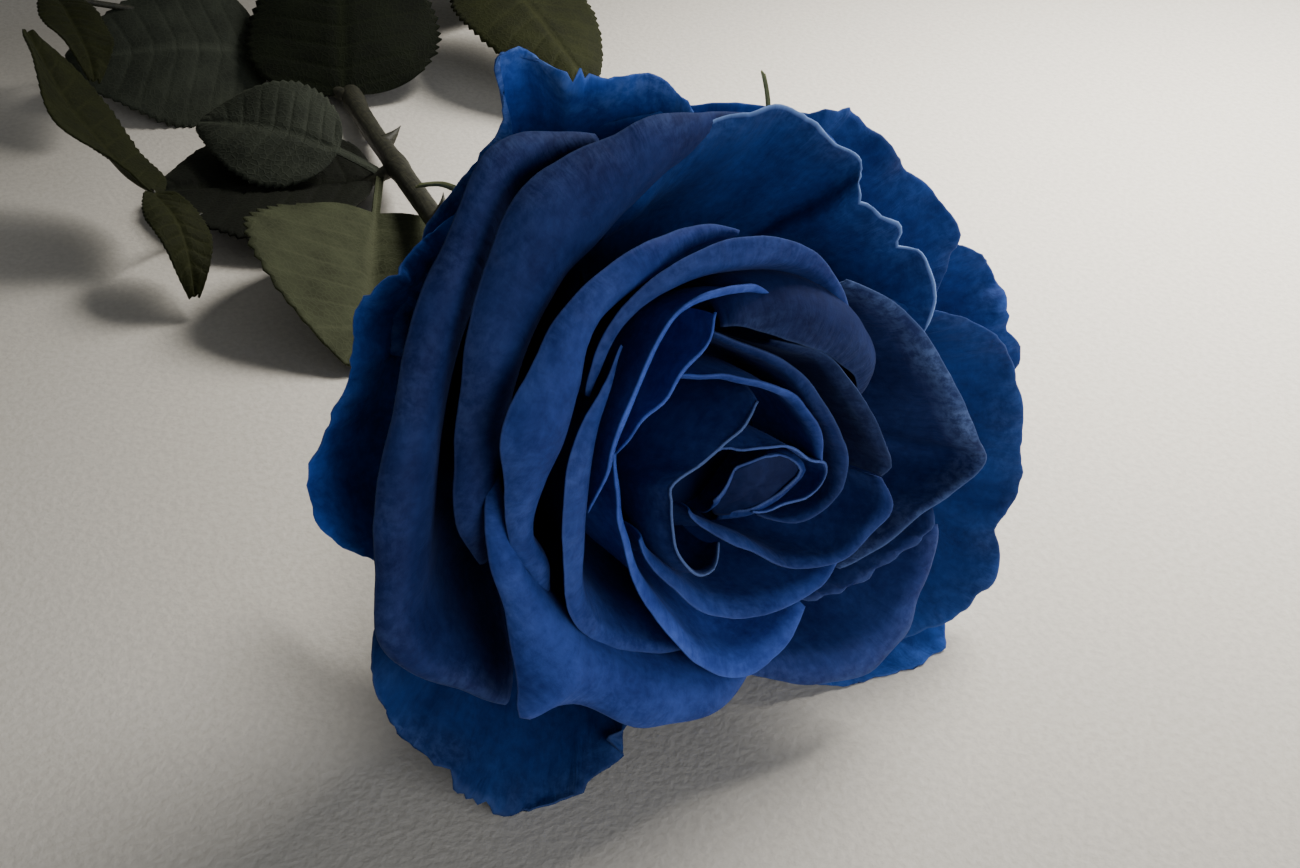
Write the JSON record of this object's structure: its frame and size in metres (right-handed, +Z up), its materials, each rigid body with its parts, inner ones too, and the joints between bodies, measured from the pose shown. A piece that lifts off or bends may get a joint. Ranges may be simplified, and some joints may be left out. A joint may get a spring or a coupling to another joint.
{
  "type": "rose flower",
  "caption": "Cut rose lying on its side: a full-blown bloom of layered blue petals, a hip with long sepals, a thorny stem and toothed compound leaves.",
  "frame": {"origin": "centre of the whole flower's box in plan, on the surface it lies on", "axes": "+Z up; +Y along the stem, from the bloom to the cut end; the bloom faces -Y and a little upwards"},
  "size_m": [0.1354, 0.2486, 0.086],
  "materials": {
    "petal": "matt velvety petal, deep royal blue, paler along worn rims",
    "sepal": "matt olive green",
    "stem": "dull dark brown-green bark with thorns",
    "leaf": "soft grey-olive leaf with pale veins"
  },
  "bodies": {
    "root": {"bloom": "petal", "calyx": "sepal", "stem": "stem", "leaf_left": "leaf", "leaf_back": "leaf", "leaf_right": "leaf"}
  },
  "joints": []
}
